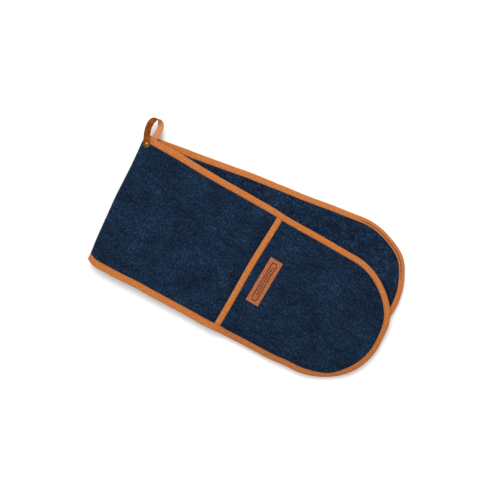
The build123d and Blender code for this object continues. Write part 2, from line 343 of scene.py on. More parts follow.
def drawn_rows(start, insets, straight_rows):
    """Grid of drawn (along, across) points: one row per place round the edge, one column per
    inset. Also the distance along the edge of each row."""
    insets = np.asarray(insets, float)
    grid, run = [], []
    for share, turn in rows_round(straight_rows):
        if turn is None or turn == "back":
            v = (HALF_WIDTH - insets) * (1 if turn is None else -1)
            first = start(v)
            u = first + (REACH - first) * share
            along = u[0] if turn is None else 2 * REACH + TIP_TURN - u[0]
        else:
            u = REACH + (HALF_WIDTH - insets) * cos(turn)
            v = (HALF_WIDTH - insets) * sin(turn)
            along = REACH + HALF_WIDTH * (pi / 2 - turn)
        grid.append(np.stack([u, v], -1))
        run.append(along)
    return np.array(grid), np.array(run)


def spread(x, v, side):
    """Where a line drawn along a half at v really runs near the fold, at x from it."""
    upper = v > 0 if side == "front" else v < 0
    inward = wander(x, upper, side) * np.clip(1 - (HALF_WIDTH - np.abs(v)) / EASED_OVER, 0, 1)
    return v * widened(x) - np.sign(v) * inward


def seam_start(side):
    """Where a half's own pieces start, as a function of the place across it."""
    return lambda v: (SEAM - spread(SEAM, v, side) * sin(SKEW)) / cos(SKEW)


def mouth_start(v, past=0.0):
    """Where a pocket's pieces start, so far past its mouth."""
    return MOUTH + past / cos(MOUTH_LEAN) + v * np.tan(MOUTH_LEAN)


near_tape = np.array([-4.5, -2, -0.6, 0, 0.5, 1.1, 1.8, 2.7, 3.8, 5.2, 7, 9.2, 11.8, 15, 19, 23.5])
far_in = np.linspace(28, HALF_WIDTH - TAPE_WIDTH, 15)
denim_rings = TAPE_WIDTH + np.concatenate([near_tape, far_in])
STRIP_ROWS = int((REACH - SEAM) / STEP)
POCKET_ROWS = int((REACH - MOUTH) / STEP)
print("rows round the strip:", 2 * STRIP_ROWS + ARC_ROWS - 1, "rings of denim:", len(denim_rings))

# %% [markdown]
# ## The padded strip and the pockets
#
# Denim sewn over wadding is thinnest where the tape grips it, dives under the tape in a small
# groove, and swells a little within a finger's width. Away from the edge it lies in long, very
# shallow waves. The real thing could be cut out as flat patterns and blown up with a cloth
# simulation, but these layers are three millimetres thick and pressed flat, so the swell is
# written directly as a height over the drawing, which also keeps both faces clear of the other
# half.

# %% Heights of the denim, and the marks of its weave
TURN_RUN = 1.2                       # cloth used up in the turn of the fold, for each half
INNER_LAYER, INNER_LINING = 60, 30   # the inside faces take their weave from elsewhere


def swell(distance, wide=16.0, high=0.5):
    """Height of a denim face, against the tape's, at a distance in from the tape's edge."""
    return -0.85 + 0.75 * ease((distance + 0.4) / 3.2) + high * ease((distance - 1) / wide)


def hand_room(u, v):
    """Height of the empty pocket."""
    across = ease((edge_distance(u, v) - 8) / 42)
    along = 0.72 + 0.28 * ease(beyond_mouth(u, v) / 70)
    return HAND_SPACE * across * along


def waves(grid, seed, high):
    """Long shallow waves with smaller dents between them, none close to a tape or the fold."""
    u, v = grid[..., 0], grid[..., 1]
    calm = ease((edge_distance(u, v) - TAPE_WIDTH - 2) / 20) * ease((fold_distance(u, v) - 26) / 50)
    calm = calm * ease((np.abs(beyond_mouth(u, v) - TAPE_WIDTH / 2) - 5.6) / 14)
    long_waves = rough(grid * np.array([1.0, 0.62]), 44, seed, 2)
    return high * calm * (long_waves + 0.4 * rough(grid, 12, seed + 3, 2))


def cloth_mark(u, v, side, layer):
    """Where a drawn point lies in the opened strip, continuous across the fold."""
    flip = 1.0 if side == "front" else -1.0
    along = flip * (u + TURN_RUN * cos(SKEW))
    across = flip * (v + TURN_RUN * sin(SKEW))
    return np.stack([along, across, np.full_like(u, float(layer))], -1)


def with_height(grid, height):
    """Drawn points with their level added."""
    return np.concatenate([grid, height[..., None]], -1)


# %% Make the two padded strips
def make_strip(side):
    grid, _ = drawn_rows(seam_start(side), denim_rings, STRIP_ROWS)
    u, v = grid[..., 0], grid[..., 1]
    inside = edge_distance(u, v) - TAPE_WIDTH
    base = parting(u, v)
    puff = 0.5 * ease((fold_distance(u, v) - SEAM) / 60)
    covered = ease((beyond_mouth(u, v) - 4) / 12)
    outer = base + STRIP + swell(inside, 16, 0) + puff * ease((inside - 1) / 16) * (1 - covered)
    outer = outer - 0.5 * covered + waves(grid, 4.0, 0.62) * (1 - covered)
    lift = waves(grid, 9.0, 0.22)
    inner = base - 0.75 * swell(inside, 16, 0) + np.maximum(lift, 0) * (0.4 if side == "front" else 1)
    made = thick_sheet(
        f"{side}_padded_strip",
        place(with_height(grid, outer), side),
        place(with_height(grid, inner), side),
        cloth_mark(u, v, side, 0),
        cloth_mark(u, v, side, INNER_LAYER),
        merge=1e-6,
    )
    nodes = [f"{side}_{layer}" for layer in ("inner_cover", "wadding", "outer_cover")]
    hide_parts(*nodes)
    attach(made, f"{side}_half")
    return made


strips = {side: make_strip(side) for side in ("back", "front")}
for made in strips.values():
    print(made.name, "has", len(made.data.vertices), "points")

# %% [markdown]
# ## Pockets
#
# Each pocket is a second padded panel over the tip end of the strip. It is sewn down under the
# tape round its edge and open at its straight mouth, where a hand goes in, so it rises in a low
# dome that stays slightly open at the mouth. A thin cotton lining shows inside. The panel uses
# the same rows and the same swell as the strip, started at the mouth, so that its edge lies
# exactly on the strip's edge when the tape closes over both.

# %% Make the pocket panels
PANEL = 2.9                          # full thickness of a padded panel
PANEL_AT_TAPE = 2.35                 # and where the tape grips it
PANEL_SHIFT = 260                    # its denim is cut from another place than the strip's
POCKET_WAVES = 0.55
BACK_SEED, FRONT_SEED = 14.0, 22.0


def panel_thickness(u, v):
    """Thickness of the padded panel: thin under the tapes, full in the middle."""
    inside = np.minimum(edge_distance(u, v), beyond_mouth(u, v) + 0.4) - TAPE_WIDTH
    return PANEL_AT_TAPE + swell(inside, 15, PANEL - PANEL_AT_TAPE + 0.1)


def make_pocket(side, seed):
    grid, _ = drawn_rows(lambda v: mouth_start(v, 0.9), denim_rings, POCKET_ROWS)
    u, v = grid[..., 0], grid[..., 1]
    low = SEAT + hand_room(u, v)
    high = low + panel_thickness(u, v) + waves(grid, seed, POCKET_WAVES)
    made = thick_sheet(
        f"{side}_pocket_panel",
        place(with_height(grid, high), side),
        place(with_height(grid, low + 0.5), side),
        cloth_mark(u, v + PANEL_SHIFT, side, 0),
        cloth_mark(u, v + PANEL_SHIFT, side, INNER_LAYER),
        merge=1e-6,
    )
    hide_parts(f"{side}_pocket_cover", f"{side}_pocket_wadding")
    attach(made, f"{side}_half")
    return made


pockets = {"back": make_pocket("back", BACK_SEED), "front": make_pocket("front", FRONT_SEED)}
print("pocket panels:", [len(p.data.vertices) for p in pockets.values()], "points")

# %% Line the pockets
def make_lining(side):
    grid, _ = drawn_rows(lambda v: mouth_start(v, 6.0), denim_rings[::2], POCKET_ROWS // 2)
    u, v = grid[..., 0], grid[..., 1]
    low = SEAT + hand_room(u, v)
    made = thick_sheet(
        f"{side}_lining_sheet",
        place(with_height(grid, low + 0.45), side),
        place(with_height(grid, low + 0.05), side),
        cloth_mark(u, v, side, 0),
        cloth_mark(u, v, side, INNER_LINING),
        merge=1e-6,
    )
    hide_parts(f"{side}_pocket_lining")
    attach(made, f"{side}_half")
    return made


linings = {side: make_lining(side) for side in ("back", "front")}
print("linings:", [len(p.data.vertices) for p in linings.values()], "points")

# %% [markdown]
# ## Binding tape
#
# The tape is folded over the edge, so its section is a narrow U with a round rim. It is swept
# round the half by giving every row the same drawn section, as thick as the layers it holds
# there: the strip alone near the fold, and the strip with a pocket beyond the mouth. Where the
# mouth's own tape ends under it, it rises in a small lump. Round the back half's upper tip the
# tape is creased along its length. A curve with a bevel could carry one fixed section round the
# edge, but it couldn't thicken where the pocket starts.

# %% Sections of the edge tape
EDGE_THICK = 5.9                     # strip and pocket, gripped by the tape
LUMP = 0.45                          # rise over the end of the mouth's tape
TAPE_INSIDE = np.array([0, 0, 20])   # added to the marks of a tape's inner face


def tape_levels(u, v):
    """Levels of the tape's inner and outer face over the meeting level."""
    past = beyond_mouth(u, v)
    pocket = ease((past + 2) / 6)
    lump = LUMP * ease((past + 2) / 4) * ease((14 - past) / 5)
    low = parting(u, v)
    high = low + STRIP + (GAP + EDGE_THICK - low - STRIP) * pocket + lump
    return low, high


def u_section(low, high, thick, width=9.3):
    """The folded tape's outer and inner line, as (inset, level), from its top edge round the
    rim to its bottom edge. low and high are arrays, one value for each row."""
    low, high = np.asarray(low)[:, None], np.asarray(high)[:, None]
    middle, half = (low + high) / 2, (high - low) / 2
    rim = np.minimum(half, 2.6)
    top = width * np.array([1, 0.98, 0.945, 0.895, 0.845, 0.765, 0.665, 0.565, 0.475, 0.385])
    crown = np.array([-0.42, -0.1, -0.02, -0.24, -0.02, 0.08, 0.1, 0.08, 0.04, 0.0])
    angles = np.linspace(pi / 2, -pi / 2, 15)
    flat = np.ones((len(low), len(top)))
    rim_inset = rim - rim * np.cos(angles)
    inset = np.concatenate([flat * top, rim_inset, flat * top[::-1]], 1)
    level = np.concatenate([high + crown, middle + half * np.sin(angles), low - crown[::-1]], 1)
    inner_half = np.maximum(half - thick, 0.3)
    deep_rim = thick + np.maximum(rim - thick, 0.3) * (1 - np.cos(angles))
    deep_inset = np.concatenate([flat * top, deep_rim, flat * top[::-1]], 1)
    turns = np.concatenate([np.ones(len(top)), np.sin(angles), -np.ones(len(top))])
    return inset, level, deep_inset, middle + inner_half * turns


def across_tape(inset, level):
    """Distance across the opened tape of each point of a section, from its top edge."""
    steps = np.hypot(np.diff(inset, axis=1), np.diff(level, axis=1))
    return np.concatenate([np.zeros((len(inset), 1)), np.cumsum(steps, 1)], 1)


# %% Sweep the tape round each half
def sweep_rows(start, straight_rows, inset):
    """Drawn points for an inset that differs from row to row and point to point."""
    found = np.zeros(inset.shape + (2,))
    rows = rows_round(straight_rows)
    for c in range(inset.shape[1]):
        for r, (share, turn) in enumerate(rows):
            rest = HALF_WIDTH - inset[r, c]
            if turn is None or turn == "back":
                v = rest if turn is None else -rest
                first = start(v)
                found[r, c] = first + (REACH - first) * share, v
            else:
                found[r, c] = REACH + rest * cos(turn), rest * sin(turn)
    return found


def crease_at(grid):
    """How deep the tape's crease is: only round the back half's upper tip."""
    angle = np.arctan2(grid[:, 0, 1], grid[:, 0, 0] - REACH)
    return ease((angle + 1.75) / 0.3) * ease((-0.12 - angle) / 0.35)


def make_edge_tape(side):
    ring, run = drawn_rows(seam_start(side), [0.0], STRIP_ROWS)
    low, high = tape_levels(ring[:, 0, 0], ring[:, 0, 1])
    inset, level, deep_inset, deep_level = u_section(low, high, TAPE)
    if side == "back":
        depth = crease_at(ring)[:, None] * (inset > 0.4)
        lower_face = level < ((low + high) / 2)[:, None]
        crease = 1.25 * hump(inset, 6.3, 0.75) - 0.55 * hump(inset, 3.4, 1.8)
        level = level + depth * lower_face * crease
    outer = with_height(sweep_rows(seam_start(side), STRIP_ROWS, inset), level)
    inner = with_height(sweep_rows(seam_start(side), STRIP_ROWS, deep_inset), deep_level)
    across = across_tape(inset, level)
    mark = np.stack([np.repeat(run[:, None], across.shape[1], 1), across, 0 * across], -1)
    made = thick_sheet(f"{side}_edge_tape", place(outer, side), place(inner, side), mark,
                       mark + TAPE_INSIDE)
    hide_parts(f"{side}_edge_binding")
    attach(made, f"{side}_half")
    return made


edge_tapes = {side: make_edge_tape(side) for side in ("back", "front")}
print("edge tapes:", [len(t.data.vertices) for t in edge_tapes.values()], "points")

# %% Fold a tape over each pocket's mouth
def mouth_line(along, past):
    """Drawn point at a distance along the mouth from its middle, and past the mouth."""
    u = MOUTH + past * cos(MOUTH_LEAN) + along * sin(MOUTH_LEAN)
    v = along * cos(MOUTH_LEAN) - past * sin(MOUTH_LEAN)
    return u + 1.5 * (1 - hump(along, 12, 48)), v


def make_mouth_tape(side):
    along = np.linspace(-88.0, 88.0, 90)
    u, v = mouth_line(along, 5.0)
    zero = np.zeros_like(along)
    tuck = ease((edge_distance(u, v) - 7.5) / 4)
    inset, level, deep_inset, deep_level = u_section(zero, zero + 1.55 + 0.85 * tuck, 0.6, 8.9)
    faces = []
    for past, height in ((inset, level), (deep_inset, deep_level)):
        gu, gv = mouth_line(np.repeat(along[:, None], past.shape[1], 1), past)
        faces.append(np.stack([gu, gv, SEAT + hand_room(gu, gv) + height], -1))
    across = across_tape(inset, level)
    mark = np.stack([np.repeat(along[:, None], across.shape[1], 1), across, 0 * across], -1)
    made = thick_sheet(f"{side}_mouth_tape", place(faces[0], side), place(faces[1], side), mark,
                       mark + TAPE_INSIDE)
    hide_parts(f"{side}_mouth_binding")
    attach(made, f"{side}_half")
    return made


mouth_tapes = {side: make_mouth_tape(side) for side in ("back", "front")}
print("mouth tapes:", [len(t.data.vertices) for t in mouth_tapes.values()], "points")

# %% [markdown]
# ## Cloth over the fold
#
# The fold is the one place where the cloth bends when the glove is opened. Its denim and its two
# lengths of tape are separate narrow pieces that start where the halves' own pieces end. They
# follow the back half below the fold, the front half above it, and turn smoothly between. They
# are drawn as they lie folded and are tied to neither half.

# %% A point on the cloth over the fold
TURNS = np.radians(np.linspace(-90, 90, 25))


def path_over_fold():
    """Places along the cloth, from the back half's seam to the front half's: (part, value)."""
    flat = np.linspace(SEAM, OUTER_BEND, 7)[:-1]
    lower, upper = [("below", x) for x in flat], [("above", x) for x in flat[::-1]]
    return lower + [("turn", angle) for angle in TURNS] + upper


def over_fold(place_on_path, across, height):
    """Point in the frame, and its place in the opened strip. across is measured over the edge
    lines of the halves, which meet at the fold, and height from the cloth's inner face."""
    part, value = place_on_path
    if part == "turn":
        x = OUTER_BEND - (BEND + height) * np.cos(value)
        z = (BEND + GAP + height) * np.sin(value)
        half, run = np.sin(value), MIDDLE_BEND * value
    else:
        half = 1.0 if part == "above" else -1.0
        x = value + 0 * height
        z = half * (BEND + GAP + height)
        run = half * (MIDDLE_BEND * pi / 2 + value - OUTER_BEND)
    y = spread(x, across, "front") / cos(SKEW) - half * x * np.tan(SKEW)
    bow = 2.7 * ease((y + 10) / 80) + 0.8 * ease((-y - 62) / 22)
    point = (np.stack([x + bow * (1 - ease(x / SEAM)), y, z + 0 * y], -1) + ORIGIN) * MM
    opened = np.stack([run * cos(SKEW) - y * sin(SKEW), run * sin(SKEW) + y * cos(SKEW), 0 * y], -1)
    return point, opened


def bends_over_fold(made):
    """Writes a piece's placement into its points. The piece is tied to neither half."""
    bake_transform(made)
    return made


# %% Make the denim and the tape over the fold
def make_fold_denim():
    left = HALF_WIDTH - denim_rings
    across = np.concatenate([left, -left[::-1][1:]])
    inside = HALF_WIDTH - np.abs(across) - TAPE_WIDTH
    outer, inner, marks = [], [], []
    for spot in path_over_fold():
        point, mark = over_fold(spot, across, STRIP + swell(inside, 16, 0))
        under, _ = over_fold(spot, across, -0.75 * swell(inside, 16, 0))
        outer.append(point)
        inner.append(under)
        marks.append(mark)
    marks = np.array(marks)
    made = thick_sheet("fold_denim", np.array(outer), np.array(inner), marks,
                       marks + np.array([0, 0, INNER_LAYER]))
    return bends_over_fold(made)


def make_fold_tape(name, sign):
    inset, level, deep_inset, deep_level = u_section([0.0], [STRIP], TAPE)
    across_run = across_tape(inset, level)[0]
    grids, marks = ([], []), []
    for spot in path_over_fold():
        for grid, (i, h) in zip(grids, ((inset, level), (deep_inset, deep_level))):
            point, mark = over_fold(spot, sign * (HALF_WIDTH - i[0]), h[0])
            grid.append(point)
        marks.append(np.stack([mark[:, 0] * 0 + mark[0, 0], across_run, 0 * across_run], -1))
    marks = np.array(marks)
    made = thick_sheet(name, np.array(grids[0]), np.array(grids[1]), marks,
                       marks + TAPE_INSIDE)
    return bends_over_fold(made)


fold_denim = make_fold_denim()
fold_tapes = [make_fold_tape("fold_tape_upper", 1.0), make_fold_tape("fold_tape_lower", -1.0)]
print("cloth over the fold:", len(fold_denim.data.vertices), "points")

# %% [markdown]
# ## Stitches
#
# A stitch is a short, round length of thread, pulled a little into the cloth. One small capsule
# is drawn once and repeated along a line, turned to follow the line and the face it lies on. All
# the stitches of a seam are one mesh, because hundreds of separate objects would be slow to move.

# %% Repeat a stitch along a line
THREAD = 0.34                        # radius
STITCH = 3.0
PITCH = 5.0


def capsule(length, radius):
    """A low, round thread from -length/2 to length/2 along X: (points, faces)."""
    ends = np.linspace(0, pi / 2, 4)[:-1]
    xs = np.concatenate([-length / 2 + radius * (1 - np.cos(ends)), [0]])
    rs = np.concatenate([radius * np.sin(ends + 0.25), [radius]])
    xs, rs = np.concatenate([xs, -xs[-2::-1]]), np.concatenate([rs, rs[-2::-1]])
    angles = np.linspace(0, 2 * pi, 9)[:-1]
    points = [(x, r * cos(a), r * sin(a)) for x, r in zip(xs, rs) for a in angles]
    faces = grid_faces(len(xs), 8, around=True)
    faces.append(tuple(range(7, -1, -1)))
    faces.append(tuple(range(len(points) - 8, len(points))))
    return np.array(points), faces


def between(run, values, at):
    """Value there of a vector that is known at each run along a line."""
    return np.array([np.interp(at, run, values[:, i]) for i in range(3)])


def stitches_along(line, normals, length=STITCH, pitch=PITCH, radius=THREAD):
    """Stitches on a line of points in metres. Returns (points, faces) in metres."""
    steps = np.linalg.norm(np.diff(line, axis=0), axis=1)
    run = np.concatenate([[0], np.cumsum(steps)])
    count = int(run[-1] / (pitch * MM))
    shape, shape_faces = capsule(length, radius)
    points, faces = [], []
    for k in range(count):
        middle = (k + 0.5) * run[-1] / count
        ends = [between(run, line, middle + way * length * MM / 2) for way in (-1, 1)]
        normal = between(run, normals, middle)
        ahead = (ends[1] - ends[0]) / np.linalg.norm(ends[1] - ends[0])
        up = normal - ahead * normal.dot(ahead)
        up /= np.linalg.norm(up)
        axes = np.stack([ahead, np.cross(up, ahead), up])
        points.append((ends[0] + ends[1]) / 2 + shape @ axes * MM)
        faces += [tuple(i + k * len(shape) for i in face) for face in shape_faces]
    return np.concatenate(points), faces


def joined(rows):
    """Several (points, faces) as one."""
    points, faces, first = [], [], 0
    for p, f in rows:
        points.append(p)
        faces += [tuple(i + first for i in face) for face in f]
        first += len(p)
    return np.concatenate(points), faces


def face_line(grid, side, lift=0.3):
    """A drawn line as points in the frame, with the direction that its face looks."""
    line = place(grid, side)
    raised = place(grid + np.array([0, 0, lift]), side)
    normals = raised - line
    return line, normals / np.linalg.norm(normals, axis=1)[:, None]


# %% Sew the tapes of each half
SEW_IN = TAPE_WIDTH - 1.3            # the seam's inset from the edge


def sew_half(side):
    ring, _ = drawn_rows(seam_start(side), [SEW_IN], STRIP_ROWS)
    edge, _ = drawn_rows(seam_start(side), [0.0], STRIP_ROWS)
    low, high = tape_levels(edge[:, 0, 0], edge[:, 0, 1])
    upper = np.stack([ring[:, 0, 0], ring[:, 0, 1], high - 0.02], -1)
    lower = np.stack([ring[:, 0, 0], ring[:, 0, 1], low + 0.02], -1)
    rows = [stitches_along(*face_line(upper, side)), stitches_along(*face_line(lower, side, -0.3))]
    points, faces = joined(rows)
    made = build_mesh(f"{side}_edge_seam", points, faces)
    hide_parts(f"{side}_edge_stitching")
    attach(made, f"{side}_half")
    along = np.linspace(-84.5, 84.5, 120)
    u, v = mouth_line(along, SEW_IN - 0.4)
    top = np.stack([u, v, SEAT + hand_room(u, v) + 2.4 - 0.02], -1)
    points, faces = stitches_along(*face_line(top, side))
    band = build_mesh(f"{side}_mouth_seam", points, faces)
    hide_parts(f"{side}_mouth_stitching")
    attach(band, f"{side}_half")
    return [made, band]


seams = sew_half("back") + sew_half("front")

# %% Sew the tape over the fold
def sew_fold():
    rows = []
    for sign in (1.0, -1.0):
        for height, lift in ((STRIP - 0.02, 0.3), (0.02, -0.3)):
            line, up = [], []
            for spot in path_over_fold():
                across = np.array([sign * (HALF_WIDTH - SEW_IN)])
                point, _ = over_fold(spot, across, np.array([height]))
                raised, _ = over_fold(spot, across, np.array([height + lift]))
                line.append(point[0])
                up.append((raised - point)[0])
            up = np.array(up)
            rows.append(stitches_along(np.array(line), up / np.linalg.norm(up, axis=1)[:, None]))
    points, faces = joined(rows)
    made = build_mesh("fold_seam", points, faces)
    return bends_over_fold(made)


seams.append(sew_fold())
print("seams:", sum(len(s.data.vertices) for s in seams), "points")

# %% [markdown]
# ## The leather label
#
# A patch of tan leather is sewn on the front pocket beside its mouth. Its mark is pressed in: a
# plain rectangular line with a small sprig of leaves. A fine grid follows the pocket under it,
# and the pressing is a lower height, kept as a mark as well so that it can be darkened. Cutting
# the mark with a Boolean would need far more care for the same shallow dent.

# %% The mark pressed into the label
LABEL = (20.0, 70.0, 1.4)            # across, along and thick
LABEL_PAST = TAPE_WIDTH + 13.5 + LABEL[0] / 2    # from the mouth to its middle
LABEL_SHIFT = -2.6                   # it was sewn on a little off the middle
STITCH_INSET = 1.8
FRAME_ROUND = 2.4                    # corner radius of the pressed line


def pressed_mark(a, b):
    """How deep the leather is pressed, 0 to 1, at (across, along) from the label's middle."""
    side_a = np.maximum(np.abs(a) - (LABEL[0] / 2 - 6.2 - FRAME_ROUND), 0)
    side_b = np.maximum(np.abs(b) - (LABEL[1] / 2 - 5.2 - FRAME_ROUND), 0)
    box = np.hypot(side_a, side_b) - FRAME_ROUND
    line = 1 - ease((np.abs(box) - 0.45) / 0.35)
    stem = 1 - ease((np.abs(a) - 0.18) / 0.25)
    stem = stem * ease((24.0 - np.abs(b)) / 0.6)
    leaves = np.zeros_like(a)
    for k in range(-5, 6):
        for way in (-1, 1):
            da, db = a - way * 1.2, b - 4.2 * k - 1.0
            turn = way * 0.62
            p, q = da * cos(turn) - db * sin(turn), da * sin(turn) + db * cos(turn)
            leaf = (p / 0.55) ** 2 + (q / 1.45) ** 2
            leaves = np.maximum(leaves, 1 - ease((leaf - 0.7) / 0.5))
    return np.clip(np.maximum(line, np.maximum(stem, leaves)), 0, 1)


# %% Press the label and sew it on
def label_point(a, b, height):
    """Drawn point on the pocket at (across, along) from the label's middle."""
    b = b + LABEL_SHIFT
    u = MOUTH + (LABEL_PAST + a) * cos(MOUTH_LEAN) + b * sin(MOUTH_LEAN)
    v = b * cos(MOUTH_LEAN) - (LABEL_PAST + a) * sin(MOUTH_LEAN)
    floor = SEAT + hand_room(u, v) + panel_thickness(u, v)
    floor = floor + waves(np.stack([u, v], -1), FRONT_SEED, POCKET_WAVES)
    return np.stack([u, v, floor + height], -1)


def make_label():
    a = np.linspace(-LABEL[0] / 2, LABEL[0] / 2, 61)
    b = np.linspace(-LABEL[1] / 2, LABEL[1] / 2, 201)
    grid_a, grid_b = np.meshgrid(a, b)
    inside = np.minimum(LABEL[0] / 2 - np.abs(grid_a), LABEL[1] / 2 - np.abs(grid_b))
    depth = pressed_mark(grid_a, grid_b)
    sewn = 0.22 * np.exp(-(((inside - STITCH_INSET) / 0.55) ** 2))
    top = LABEL[2] - 0.35 * (1 - ease(inside / 0.9)) - 0.3 * depth - sewn
    under = 0 * top - 0.1
    mark = np.stack([grid_a, grid_b, depth], -1)
    made = thick_sheet("leather_label", place(label_point(grid_a, grid_b, top), "front"),
                       place(label_point(grid_a, grid_b, under), "front"), mark, mark * [1, 1, 0])
    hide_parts("label")
    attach(made, "front_half")
    return made


def sew_label():
    corners = [(-1, -1), (1, -1), (1, 1), (-1, 1), (-1, -1)]
    rows = []
    for (a0, b0), (a1, b1) in zip(corners, corners[1:]):
        t = np.linspace(0, 1, 40)
        x, y = LABEL[0] / 2 - STITCH_INSET, LABEL[1] / 2 - STITCH_INSET
        line = label_point((a0 + (a1 - a0) * t) * x, (b0 + (b1 - b0) * t) * y, 0 * t + 1.12)
        rows.append(stitches_along(*face_line(line, "front"), length=2.3, pitch=3.6, radius=0.26))
    points, faces = joined(rows)
    seam = build_mesh("label_seam", points, faces)
    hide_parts("label_stitching")
    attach(seam, "front_half")
    return seam


label, label_seam = make_label(), sew_label()
print("label:", len(label.data.vertices), "points")

# %% [markdown]
# ## The hanging loop
#
# A strap of thick leather leaves the rivet with its smooth side outward, rises in a teardrop,
# turns over at the top and comes back between the halves with its rough side showing. It is
# swept along that line, with a frame at each place that follows the half twist. A bevelled curve
# twists in its own way, so here every cross-section is placed by its own three directions.

# %% The line of the strap, and its half twist
cap_low, cap_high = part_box("rivet_cap")
RIVET = np.array([(cap_low.x + cap_high.x) / 2, (cap_low.y + cap_high.y) / 2]) / MM - ORIGIN[:2]
STRAP_WIDTH, TAIL_WIDTH, STRAP_THICK = 9.2, 7.0, 1.8
STRAP_CLEAR = 0.55                   # from the cloth up to the strap's outer end
TAIL_DROP = 1.1                      # from the cloth down to its inner end
STRAP_HIGH = GAP + OUTER_BEND + STRAP_CLEAR + STRAP_THICK / 2    # the outer end's middle
STRAP_LOW = GAP + BEND - TAIL_DROP - STRAP_THICK / 2             # the inner end's middle
LOOP_HEIGHT, LOOP_SPREAD, LOOP_LEAN = 40.0, 10.0, radians(0.5)
TURN_START = 108.0                   # degrees round the loop where it begins to turn over


def turned(turn):
    """Share of the half twist made after so many degrees round the loop."""
    return float(ease((turn - TURN_START) / (360 - 2 * TURN_START)))


def loop_point(turn):
    """Middle of the strap after so many degrees round the loop, from the fold's origin."""
    angle = radians(turn)
    x = -LOOP_SPREAD * sin(angle) * sin(angle / 2)
    y = LOOP_HEIGHT / 2 * (1 - cos(angle))
    return Vector((RIVET[0] + x * cos(LOOP_LEAN) - y * sin(LOOP_LEAN),
                   RIVET[1] + y * cos(LOOP_LEAN) + x * sin(LOOP_LEAN),
                   STRAP_HIGH + (STRAP_LOW - STRAP_HIGH) * turned(turn)))


def strap_frame(turn):
    """(middle, across, grain side) of the strap there."""
    along = (loop_point(min(turn + 0.5, 360)) - loop_point(max(turn - 0.5, 0))).normalized()
    up = (Vector((0, 0, 1)) - along * along.z).normalized()
    outward = up.cross(along)
    twist = pi * turned(turn)
    grain = up * cos(twist) + outward * sin(twist)
    return loop_point(turn), grain.cross(along), grain


print("top of the loop:", [round(v, 1) for v in loop_point(180)], "mm from the fold's middle")

# %% Sweep the strap
def make_strap():
    columns = np.array([-1, -0.985, -0.94, -0.85, -0.6, -0.3, 0, 0.3, 0.6, 0.85, 0.94, 0.985, 1])
    rounding = 0.38 * ease((np.abs(columns) - 0.8) / 0.2)
    stations = []
    for end, width in ((1, STRAP_WIDTH), (360, TAIL_WIDTH)):
        middle, across, grain = strap_frame(end)
        along = across.cross(grain) * (1 if end == 1 else -1)
        beyond = [(middle - along * (width / 2 * sin(a)), across, grain, max(width * cos(a), 0.6))
                  for a in np.linspace(pi / 2, 0.1, 8)]
        stations.append(beyond if end == 1 else beyond[::-1])
    walk = []
    for turn in np.linspace(1, 359.5, 130):
        middle, across, grain = strap_frame(turn)
        width = STRAP_WIDTH + (TAIL_WIDTH - STRAP_WIDTH) * float(ease((turn - 300) / 20))
        walk.append((middle, across, grain, width))
    faces, marks, run = ([], []), [], 0.0
    previous = None
    for middle, across, grain, width in stations[0] + walk + stations[1]:
        run += (middle - previous).length if previous is not None else 0.0
        previous = middle
        for rows, sign in zip(faces, (1, -1)):
            thick = sign * (STRAP_THICK / 2 - rounding)
            rows.append([middle + across * (c * width / 2) + grain * t for c, t in zip(columns, thick)])
        marks.append([(run, c * width / 2, 1.0) for c in columns])
    outer, inner = ((np.array(rows) + ORIGIN) * MM for rows in faces)
    marks = np.array(marks)
    made = thick_sheet("leather_loop", outer, inner, marks, marks * np.array([1, 1, -1]))
    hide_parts("hang_strap")
    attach(made, "hang_loop")
    return made


leather_loop = make_strap()
print("strap:", len(leather_loop.data.vertices), "points")

# %% [markdown]
# ## Finishes
#
# Each finish is a small graph of nodes that reads the marks kept on the points, in millimetres.
# A helper adds a node, sets its values and links its inputs in one call, so that each finish
# reads from top to bottom like a recipe. No picture is wrapped round the pieces, so nothing has
# to be unwrapped and the weave is as sharp close up as it is from far away.

# %% A helper for node graphs
def new_finish(name):
    """An empty material and its node tree."""
    finish = bpy.data.materials.new(name)
    finish.use_nodes = True
    finish.node_tree.nodes.clear()
    return finish, finish.node_tree


def add(tree, kind, inputs=None, **settings):
    """A shader node, with its settings, and its inputs linked or set."""
    node = tree.nodes.new("ShaderNode" + kind)
    for key, value in settings.items():
        setattr(node, key, value)
    for key, value in (inputs or {}).items():
        if isinstance(value, bpy.types.NodeSocket):
            tree.links.new(value, node.inputs[key])
        else:
            node.inputs[key].default_value = value
    return node


def place_in_cloth(tree, stretch=(1, 1, 1), turn=0.0, shift=(0, 0, 0)):
    """The kept marks, stretched and turned, as a vector socket."""
    mark = add(tree, "Attribute", attribute_name="cloth_place")
    mapping = add(tree, "Mapping", {"Vector": mark.outputs["Vector"], "Scale": stretch,
                                    "Rotation": (0, 0, turn), "Location": shift})
    return mapping.outputs["Vector"]


def blotches(tree, where, scale, detail=3.0, roughness=0.55):
    """Soft cloudy noise, 0 to 1."""
    made = add(tree, "TexNoise", {"Vector": where, "Scale": scale, "Detail": detail,
                                  "Roughness": roughness})
    return made.outputs["Fac"]


def mark_value(tree, axis):
    """One of the three kept marks, as a number."""
    mark = add(tree, "Attribute", attribute_name="cloth_place")
    return add(tree, "SeparateXYZ", {0: mark.outputs["Vector"]}).outputs[axis]


def ramp(tree, value, *stops):
    """A colour ramp with (position, linear colour) stops."""
    made = add(tree, "ValToRGB", {"Fac": value})
    points = made.color_ramp.elements
    while len(points) < len(stops):
        points.new(0.5)
    for point, (position, colour) in zip(points, stops):
        point.position = position
        point.color = (*colour, 1)
    return made.outputs["Color"]


